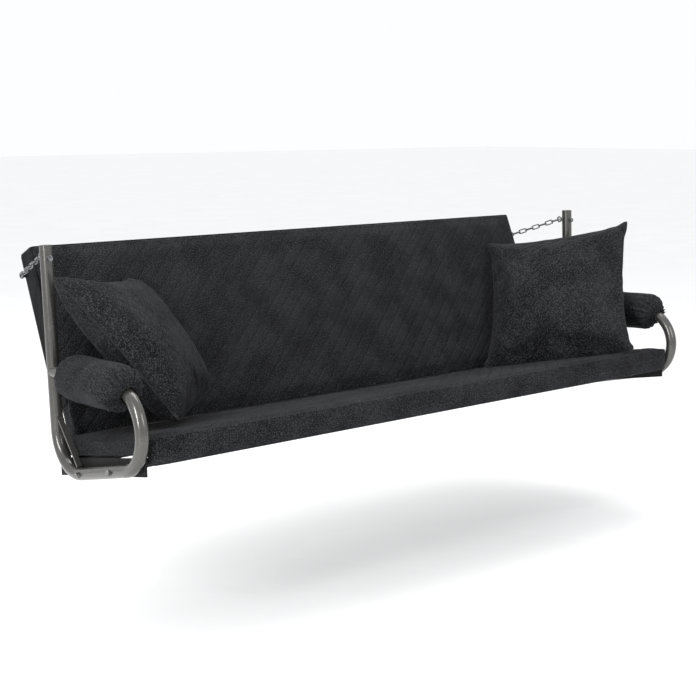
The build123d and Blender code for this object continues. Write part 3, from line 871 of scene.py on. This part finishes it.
def sleeve_radius(s, seed):
    """Radius round one ring, with pleats near the two gathers."""
    front = max(s - FRILL, 0.0)
    rear = max(sleeve_length - s, 0.0)
    swell_front = math.sin(min(front / 0.026, 1) * math.pi / 2) ** 0.6
    swell_rear = math.sin(min(rear / 0.034, 1) * math.pi / 2) ** 0.55
    base = NECK_R + (SLEEVE_R - NECK_R) * min(swell_front, swell_rear)
    pleats = np.sin(17 * angles + seed) + 0.6 * np.sin(29 * angles + 2.1 * seed)
    pleats = pleats + 0.35 * np.sin(11 * angles - seed)
    close = max(math.exp(-front / 0.020), 0.8 * math.exp(-rear / 0.014))
    slack = 0.0007 * np.sin(3 * angles + 40 * s + seed) + 0.0006 * np.sin(5 * angles - 61 * s)
    swell = (base - 0.0172) / (SLEEVE_R - 0.0172)
    radius = base + (pleats - 1.2) * close * 0.0085 * (0.12 + swell) + slack * swell
    if s < FRILL:
        flare = (FRILL - s) / FRILL
        radius = 0.0182 + 0.0105 * flare + 0.0045 * flare * np.sin(13 * angles + seed)
        radius = radius + 0.002 * flare * np.sin(31 * angles)
    return np.maximum(radius, BORE_R + 0.0008)


def make_bolster(name, side, seed):
    """Rings along the arm, back again inside, and round to the first."""
    stations = np.concatenate([
        np.linspace(0, 0.060, 34),
        np.linspace(0.066, sleeve_length - 0.055, 36),
        np.linspace(sleeve_length - 0.050, sleeve_length, 26),
    ])
    points, flat, faces = [], [], []
    for inner in (False, True):
        for s in stations if not inner else stations[::-1][::4]:
            centre, out = arm_path(s)
            radius = np.full(ROUND, BORE_R) if inner else sleeve_radius(s, seed)
            for angle, r in zip(angles, radius):
                y, z = centre + out * math.sin(angle) * r
                points.append((side * ARM_X + math.cos(angle) * r, y, z))
                flat.append((s, angle * SLEEVE_R, r))
    rings = len(points) // ROUND
    for a in range(rings):
        b = (a + 1) % rings
        for i in range(ROUND):
            j = (i + 1) % ROUND
            faces.append((a * ROUND + i, a * ROUND + j, b * ROUND + j, b * ROUND + i))
    made = plain_mesh(name, points, faces)
    keep_flat(made, np.array(flat))
    made.data.materials.append(finishes["outdoor_fabric"])
    turned = bmesh.new()
    turned.from_mesh(made.data)
    bmesh.ops.recalc_face_normals(turned, faces=turned.faces)
    turned.to_mesh(made.data)
    turned.free()
    made.data.shade_smooth()
    return made


for word, side in (("left", -1), ("right", 1)):
    bolster = make_bolster(f"bolster_{word}_soft", side, 1.3 + side)
    subdivide(bolster, 1)
    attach(bolster, "bench")
    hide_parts(f"bolster_{word}")
    print("bolster", word, "squares:", len(bolster.data.polygons))

# %% [markdown]
# ## The two pillows
#
# A pillow is two square panels sewn at their edges and stuffed. The middle
# swells, the edges pull in between the corners, and the corners stay out as
# ears. It starts thin and is filled by the cloth simulation, and small folds are
# added near its seams. Then it is set down on the seat and leant on the back, and
# every point that would sink into the seat, the back or a bolster is pressed out
# to its surface.

# %% Pillow shape
def pillow_cover(name, width, height, thickness, pinch):
    """Two panels that meet at a seam, pulled in between the corners."""
    count = 48
    units, faces, index = box_grid(count, count, 2)
    a, b, c = units[:, 0], units[:, 1], units[:, 2]
    x = a * width / 2 * (1 - pinch * (1 - b ** 2) * np.abs(a) ** 2)
    y = b * height / 2 * (1 - pinch * (1 - a ** 2) * np.abs(b) ** 2)
    dome = (np.clip(1 - np.abs(a) ** 2.4, 0, 1) * np.clip(1 - np.abs(b) ** 2.4, 0, 1)) ** 0.55
    z = c * (0.0012 + dome * thickness / 2)
    made = plain_mesh(name, np.stack([x, y, z], axis=1), faces)
    keep_flat(made, np.stack([a * width / 2, b * height / 2, c * 0.01], axis=1))
    made.data.materials.append(finishes["quilted_fabric"])
    seam = [index[i, 0, 1] for i in range(count)]
    seam += [index[count, j, 1] for j in range(count)]
    seam += [index[i, count, 1] for i in range(count, 0, -1)]
    seam += [index[0, j, 1] for j in range(count, 0, -1)]
    return made, seam


def crumple(points, size):
    """Small folds that run in from a pillow's edges, strongest at the seams."""
    a = points[:, 0] / (size["width"] / 2)
    b = points[:, 1] / (size["height"] / 2)
    side_fold = np.sin(27 * b + 3.1 * np.sin(5 * b)) * ease(np.abs(a), 0.55, 0.98)
    end_fold = np.sin(24 * a + 2.7 * np.sin(6 * a + 1)) * ease(np.abs(b), 0.55, 0.98)
    depth = 0.0022 * (side_fold + end_fold)
    points[:, 2] += np.sign(points[:, 2]) * depth * ease(np.abs(points[:, 2]), 0.002, 0.012)
    for axis, out, along, waves in ((0, a, b, (19, 7)), (1, b, a, (21, 8))):
        fold = np.sin(waves[0] * along + 2 * np.sin(waves[1] * along))
        points[:, axis] += 0.0024 * np.sign(out) * fold * ease(np.abs(out), 0.75, 1.0)
    return points


PRESS_DEPTH = 0.16
PRESS_R = 0.0575
# For each cushion: its frame, how high its cloth stands, where it starts and ends.
PRESS_FACES = (
    (seat_frame, SEAT_PAD + 0.006, -0.02, 0.47),
    (back_frame, 0.0075, -0.03, 0.535),
)


def press_out(points):
    """Push points out of the seat, the back and the bolsters."""
    for _ in range(2):
        for frame_of, top, low, high in PRESS_FACES:
            turn = np.array(frame_of.to_3x3())
            origin = np.array(frame_of.translation)
            local = (points - origin) @ turn
            sunk = (local[:, 1] > low) & (local[:, 1] < high)
            sunk &= (local[:, 2] < top) & (local[:, 2] > top - PRESS_DEPTH)
            local[sunk, 2] = top
            points = local @ turn.T + origin
        for side in (-1, 1):
            centre, out = arm_path(wrap_length + arm_length / 2)
            along = np.array((0, math.cos(ARM_DROP), -math.sin(ARM_DROP)))
            axis_point = np.array((side * ARM_X, centre[0], centre[1]))
            offset = points - axis_point
            run = offset @ along
            radial = offset - run[:, None] * along
            gap = np.linalg.norm(radial, axis=1)
            deep = (gap < PRESS_R) & (np.abs(run) < arm_length / 2 + 0.03)
            points[deep] += radial[deep] / gap[deep][:, None] * (PRESS_R - gap[deep])[:, None]
    return points


print("pillow helpers ready")

# %% Make and place the pillows
EMPTY_SHARE = 0.72  # of a pillow's thickness, before it is filled
# Corners go round from the top left: top right, lower right, lower left.
PILLOWS = {
    "left": dict(
        corners=(
            (-1.000, -0.126, -0.063), (-0.640, 0.138, -0.120),
            (-0.490, -0.010, -0.420), (-0.785, -0.336, -0.409),
        ),
        width=0.45, height=0.43, thickness=0.14, pinch=0.04, sag=0.030,
    ),
    "right": dict(
        corners=(
            (0.724, 0.1495, -0.107), (0.971, -0.2495, -0.024),
            (0.766, -0.4525, -0.395), (0.519, -0.0525, -0.477),
        ),
        width=0.47, height=0.462, thickness=0.115, pinch=0.06, sag=0.034,
    ),
}


def set_by_corners(points, size):
    """Carry the filled pillow's flat square to its four corners, and let it sag."""
    corner = [Vector(c) for c in size["corners"]]
    outward = (corner[2] - corner[0]).cross(corner[1] - corner[3]).normalized()
    stretch = np.abs(points[:, :2]).max(axis=0)
    a = (points[:, 0] / stretch[0] + 1) / 2
    b = (points[:, 1] / stretch[1] + 1) / 2
    lower = np.clip(1 - 2 * b, 0, 1) ** 1.5 * (1 - (2 * a - 1) ** 4)
    top_left, top_right, low_right, low_left = (np.array(c) for c in corner)
    a, b = a[:, None], b[:, None]
    upper = (1 - a) * top_left + a * top_right
    under = (1 - a) * low_left + a * low_right
    place = b * upper + (1 - b) * under + points[:, 2:3] * np.array(outward)
    place[:, 2] -= lower * size["sag"]
    return place


seams = {}
for word, size in PILLOWS.items():
    pillow, seam = pillow_cover(
        f"pillow_{word}_soft", size["width"], size["height"],
        size["thickness"] * EMPTY_SHARE, size["pinch"],
    )
    fill_cover(pillow, 5.0, 0.024, 18)
    filled = crumple(read_points(pillow.data), size)
    write_points(pillow.data, press_out(set_by_corners(filled, size)))
    subdivide(pillow, 2)
    flat = flat_points(pillow.data)
    half = np.array((size["width"], size["height"])) / 2
    edge = np.min(half - np.abs(flat[:, :2]), axis=1)
    sew_diamonds(pillow, QUILT_STEP, 0.0016, 0.0055, ease(edge, 0.006, 0.03))
    seams[word] = [pillow.data.vertices[v].co.copy() for v in seam]
    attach(pillow, f"pillow_{word}")
    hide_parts(f"pillow_{word}")
    print("pillow", word, "squares:", len(pillow.data.polygons))

# %% [markdown]
# ## Geometry Nodes: chains, welts and stitches
#
# A chain is one link repeated, each turned a quarter from the last. A welt is a
# fine tube round a pillow's seam, and topstitching is one short thread repeated
# along an edge. Each is a rule, so each is a small node tree with named sizes.

# %% Geometry Nodes helpers
def open_tree(name, sizes, takes_geometry):
    """A Geometry Nodes tree with named sizes and a finish."""
    tree = bpy.data.node_groups.new(name, "GeometryNodeTree")
    if takes_geometry:
        tree.interface.new_socket(name="Geometry", in_out="INPUT", socket_type="NodeSocketGeometry")
    for label, kind, value in sizes:
        socket = tree.interface.new_socket(name=label, in_out="INPUT", socket_type=kind)
        socket.default_value = value
    tree.interface.new_socket(name="Finish", in_out="INPUT", socket_type="NodeSocketMaterial")
    tree.interface.new_socket(name="Geometry", in_out="OUTPUT", socket_type="NodeSocketGeometry")
    entry, leave = tree.nodes.new("NodeGroupInput"), tree.nodes.new("NodeGroupOutput")
    return tree, entry.outputs, leave.inputs


def add(tree, kind, links=None, **values):
    """A node with linked sockets and plain values, both by socket name."""
    node = tree.nodes.new(kind)
    for label, value in values.items():
        setattr(node, label, value)
    for label, source in (links or {}).items():
        if isinstance(source, bpy.types.NodeSocket):
            tree.links.new(source, node.inputs[label])
        else:
            node.inputs[label].default_value = source
    return node


def close_tree(tree, geometry, finish, give):
    """Realize Instances, Set Material, output."""
    real = add(tree, "GeometryNodeRealizeInstances", {"Geometry": geometry})
    dress = {"Geometry": real.outputs[0], "Material": finish}
    dressed = add(tree, "GeometryNodeSetMaterial", dress)
    tree.links.new(dressed.outputs[0], give["Geometry"])


def sweep(tree, path, sides, radius):
    """A smooth round wire of that many sides along a path."""
    ring = add(tree, "GeometryNodeCurvePrimitiveCircle", {"Resolution": sides, "Radius": radius})
    shape = {"Curve": path, "Profile Curve": ring.outputs["Curve"]}
    tube = add(tree, "GeometryNodeCurveToMesh", shape)
    return add(tree, "GeometryNodeSetShadeSmooth", {"Geometry": tube.outputs[0]}).outputs[0]


def run_tree(piece, tree, **values):
    """Run a tree on an object and keep the result as its plain mesh."""
    maker = piece.modifiers.new("maker", "NODES")
    maker.node_group = tree
    for item in tree.interface.items_tree:
        if item.in_out == "INPUT" and item.name in values:
            maker[item.identifier] = values[item.name]
    graph = bpy.context.evaluated_depsgraph_get()
    made = bpy.data.meshes.new_from_object(piece.evaluated_get(graph), depsgraph=graph)
    piece.modifiers.clear()
    solid = bpy.data.objects.new(piece.name + "_solid", made)
    scene.collection.objects.link(solid)
    keep = piece.name
    bpy.data.objects.remove(piece)
    solid.name = keep
    return solid


# %% [markdown]
# ### The chains
#
# Eight long links of galvanised wire run from the eye bolt down to the stud on
# the backrest. The tree draws one link as a rounded rectangle swept by a round
# wire, and instances it along a row of points.

# %% Chain tree and chains
LINKS = 8
LINK_LENGTH = 0.032

chain_tree, take, give = open_tree(
    "chain_links",
    [
        ("Links", "NodeSocketInt", LINKS),
        ("Pitch", FLOAT, 0.0277),
        ("Link length", FLOAT, LINK_LENGTH),
        ("Link width", FLOAT, 0.012),
        ("Wire radius", FLOAT, 0.002),
    ],
    False,
)
outline = add(
    chain_tree, "GeometryNodeCurvePrimitiveQuadrilateral",
    {"Width": take["Link length"], "Height": take["Link width"]},
)
# A hair under half the width, so that the two fillets of an end never meet.
end_radius = {0: take["Link width"], 1: 0.499}
end_radius = add(chain_tree, "ShaderNodeMath", end_radius, operation="MULTIPLY").outputs[0]
bend = add(
    chain_tree, "GeometryNodeFilletCurve",
    {"Curve": outline.outputs[0], "Count": 6, "Radius": end_radius, "Limit Radius": True},
    mode="POLY",
)
link = sweep(chain_tree, bend.outputs[0], 12, take["Wire radius"])
step_out = add(chain_tree, "ShaderNodeCombineXYZ", {"X": take["Pitch"]})
row = {"Count": take["Links"], "Offset": step_out.outputs[0]}
row = add(chain_tree, "GeometryNodeMeshLine", row)
number = add(chain_tree, "GeometryNodeInputIndex")
odd = add(chain_tree, "ShaderNodeMath", {0: number.outputs[0], 1: 2.0}, operation="MODULO")
quarter = {0: odd.outputs[0], 1: math.pi / 2}
quarter = add(chain_tree, "ShaderNodeMath", quarter, operation="MULTIPLY")
spin = add(chain_tree, "ShaderNodeCombineXYZ", {"X": quarter.outputs[0]})
links = add(
    chain_tree, "GeometryNodeInstanceOnPoints",
    {"Points": row.outputs[0], "Instance": link, "Rotation": spin.outputs[0]},
)
close_tree(chain_tree, links.outputs[0], take["Finish"], give)

CHAIN_TOP = Vector((0.950, 0.03155, -0.0320))
CHAIN_FOOT = Vector((0.910, 0.2480, -0.1036))
for word, side in (("left", -1), ("right", 1)):
    top, foot = (end * Vector((side, 1, 1)) for end in (CHAIN_TOP, CHAIN_FOOT))
    along = (foot - top).normalized()
    normal = along.cross(Vector((1, 0, 0))).normalized()
    cross = normal.cross(along)
    chain = plain_mesh(f"chain_{word}_links", [(0, 0, 0)], [])
    chain = run_tree(chain, chain_tree, Links=LINKS, Finish=finishes["galvanised_steel"])
    basis = Matrix((along, cross, normal)).transposed().to_4x4()
    place_mesh(chain, Matrix.Translation(top + along * (LINK_LENGTH / 2)) @ basis)
    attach(chain, f"chain_{word}")
    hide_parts(f"chain_{word}")
    print("chain", word, "faces:", len(chain.data.polygons))

# %% [markdown]
# ### Pillow welts
#
# The seam allowance inside a pillow's edge stands up as a slim ridge. A fine
# tube along the seam line shows it, and catches a thin line of light.

# %% Welt tree and welts
welt_tree, take, give = open_tree("seam_welt", [("Welt radius", FLOAT, 0.0018)], True)
strand = add(welt_tree, "GeometryNodeMeshToCurve", {"Mesh": take["Geometry"]})
ridge = sweep(welt_tree, strand.outputs[0], 8, take["Welt radius"])
close_tree(welt_tree, ridge, take["Finish"], give)


def edge_line(name, points, closed):
    """A line of edges through points, closed into a ring or open."""
    edges = [(i, i + 1) for i in range(len(points) - 1)]
    if closed:
        edges.append((len(points) - 1, 0))
    return plain_mesh(name, points, [], edges)


for word, points in seams.items():
    welt = edge_line(f"pillow_{word}_welt", points, True)
    welt = run_tree(welt, welt_tree, Finish=finishes["sewing_thread"])
    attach(welt, f"pillow_{word}")
    print("welt", word, "faces:", len(welt.data.polygons))

# %% [markdown]
# ### Topstitching
#
# The long edges of the seat and back panels are topstitched. The edge's own
# vertices give the path, the tree cuts it into even steps and lays one small
# thread on each.

# %% Stitch tree and stitches
stitch_tree, take, give = open_tree(
    "topstitching",
    [
        ("Stitch length", FLOAT, 0.0042),
        ("Stitch step", FLOAT, 0.0062),
        ("Thread radius", FLOAT, 0.0006),
    ],
    True,
)
strand = add(stitch_tree, "GeometryNodeMeshToCurve", {"Mesh": take["Geometry"]})
even = {"Curve": strand.outputs[0], "Length": take["Stitch step"]}
even = add(stitch_tree, "GeometryNodeResampleCurve", even, mode="LENGTH")
along_edge = add(stitch_tree, "GeometryNodeInputTangent")
facing = {"Vector": along_edge.outputs[0]}
facing = add(stitch_tree, "FunctionNodeAlignRotationToVector", facing, axis="Z")
one = add(
    stitch_tree, "GeometryNodeMeshCylinder",
    {"Vertices": 6, "Radius": take["Thread radius"], "Depth": take["Stitch length"]},
)
sewn = add(
    stitch_tree, "GeometryNodeInstanceOnPoints",
    {"Points": even.outputs[0], "Instance": one.outputs["Mesh"], "Rotation": facing.outputs[0]},
)
close_tree(stitch_tree, sewn.outputs[0], take["Finish"], give)

edges = {
    "seat_front_stitches": ("bench", seat, [seat_index[i, 3, 8] for i in range(2, 203)]),
    "back_top_stitches": ("backrest", back, [back_index[i, 59, 6] for i in range(2, 195)]),
}
for name, (body, cover, path) in edges.items():
    raised = [cover.data.vertices[v].co + cover.data.vertices[v].normal * 0.0004 for v in path]
    run = edge_line(name, raised, False)
    run = run_tree(run, stitch_tree, Finish=finishes["sewing_thread"])
    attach(run, body)
    print(name, "faces:", len(run.data.polygons))
